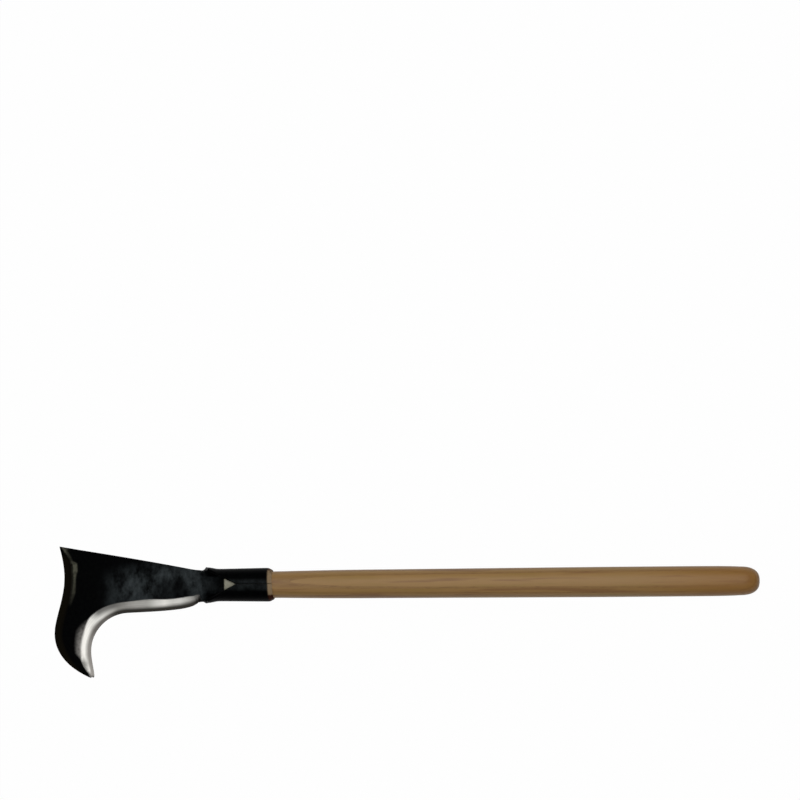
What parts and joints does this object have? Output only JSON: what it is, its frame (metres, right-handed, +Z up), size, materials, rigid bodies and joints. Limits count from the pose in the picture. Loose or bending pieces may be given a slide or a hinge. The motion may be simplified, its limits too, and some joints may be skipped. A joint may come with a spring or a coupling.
{
  "type": "billhook",
  "caption": "Billhook: flat blackened blade with a ground inner edge and a hooked nose, rolled into a socket on a long round wooden handle.",
  "frame": {"origin": "centre of the bounding box on the plane that the tool lies on, which is the blade's flat back", "axes": "+X along the handle from the blade to the butt, +Y towards the blade's spine and away from the hook, +Z up from the flat back towards the socket's seam"},
  "size_m": [0.8008, 0.1492, 0.0386],
  "materials": {
    "blackened_steel": "oil-blackened forging with a bright ground bevel along the cutting edge",
    "turned_wood": "turned, sanded and waxed, straight grain along the handle",
    "nail_steel": "plain drawn steel with a flat head"
  },
  "bodies": {
    "root": {"forged_head": "blackened_steel", "handle": "turned_wood", "socket_nail": "nail_steel"}
  },
  "joints": []
}
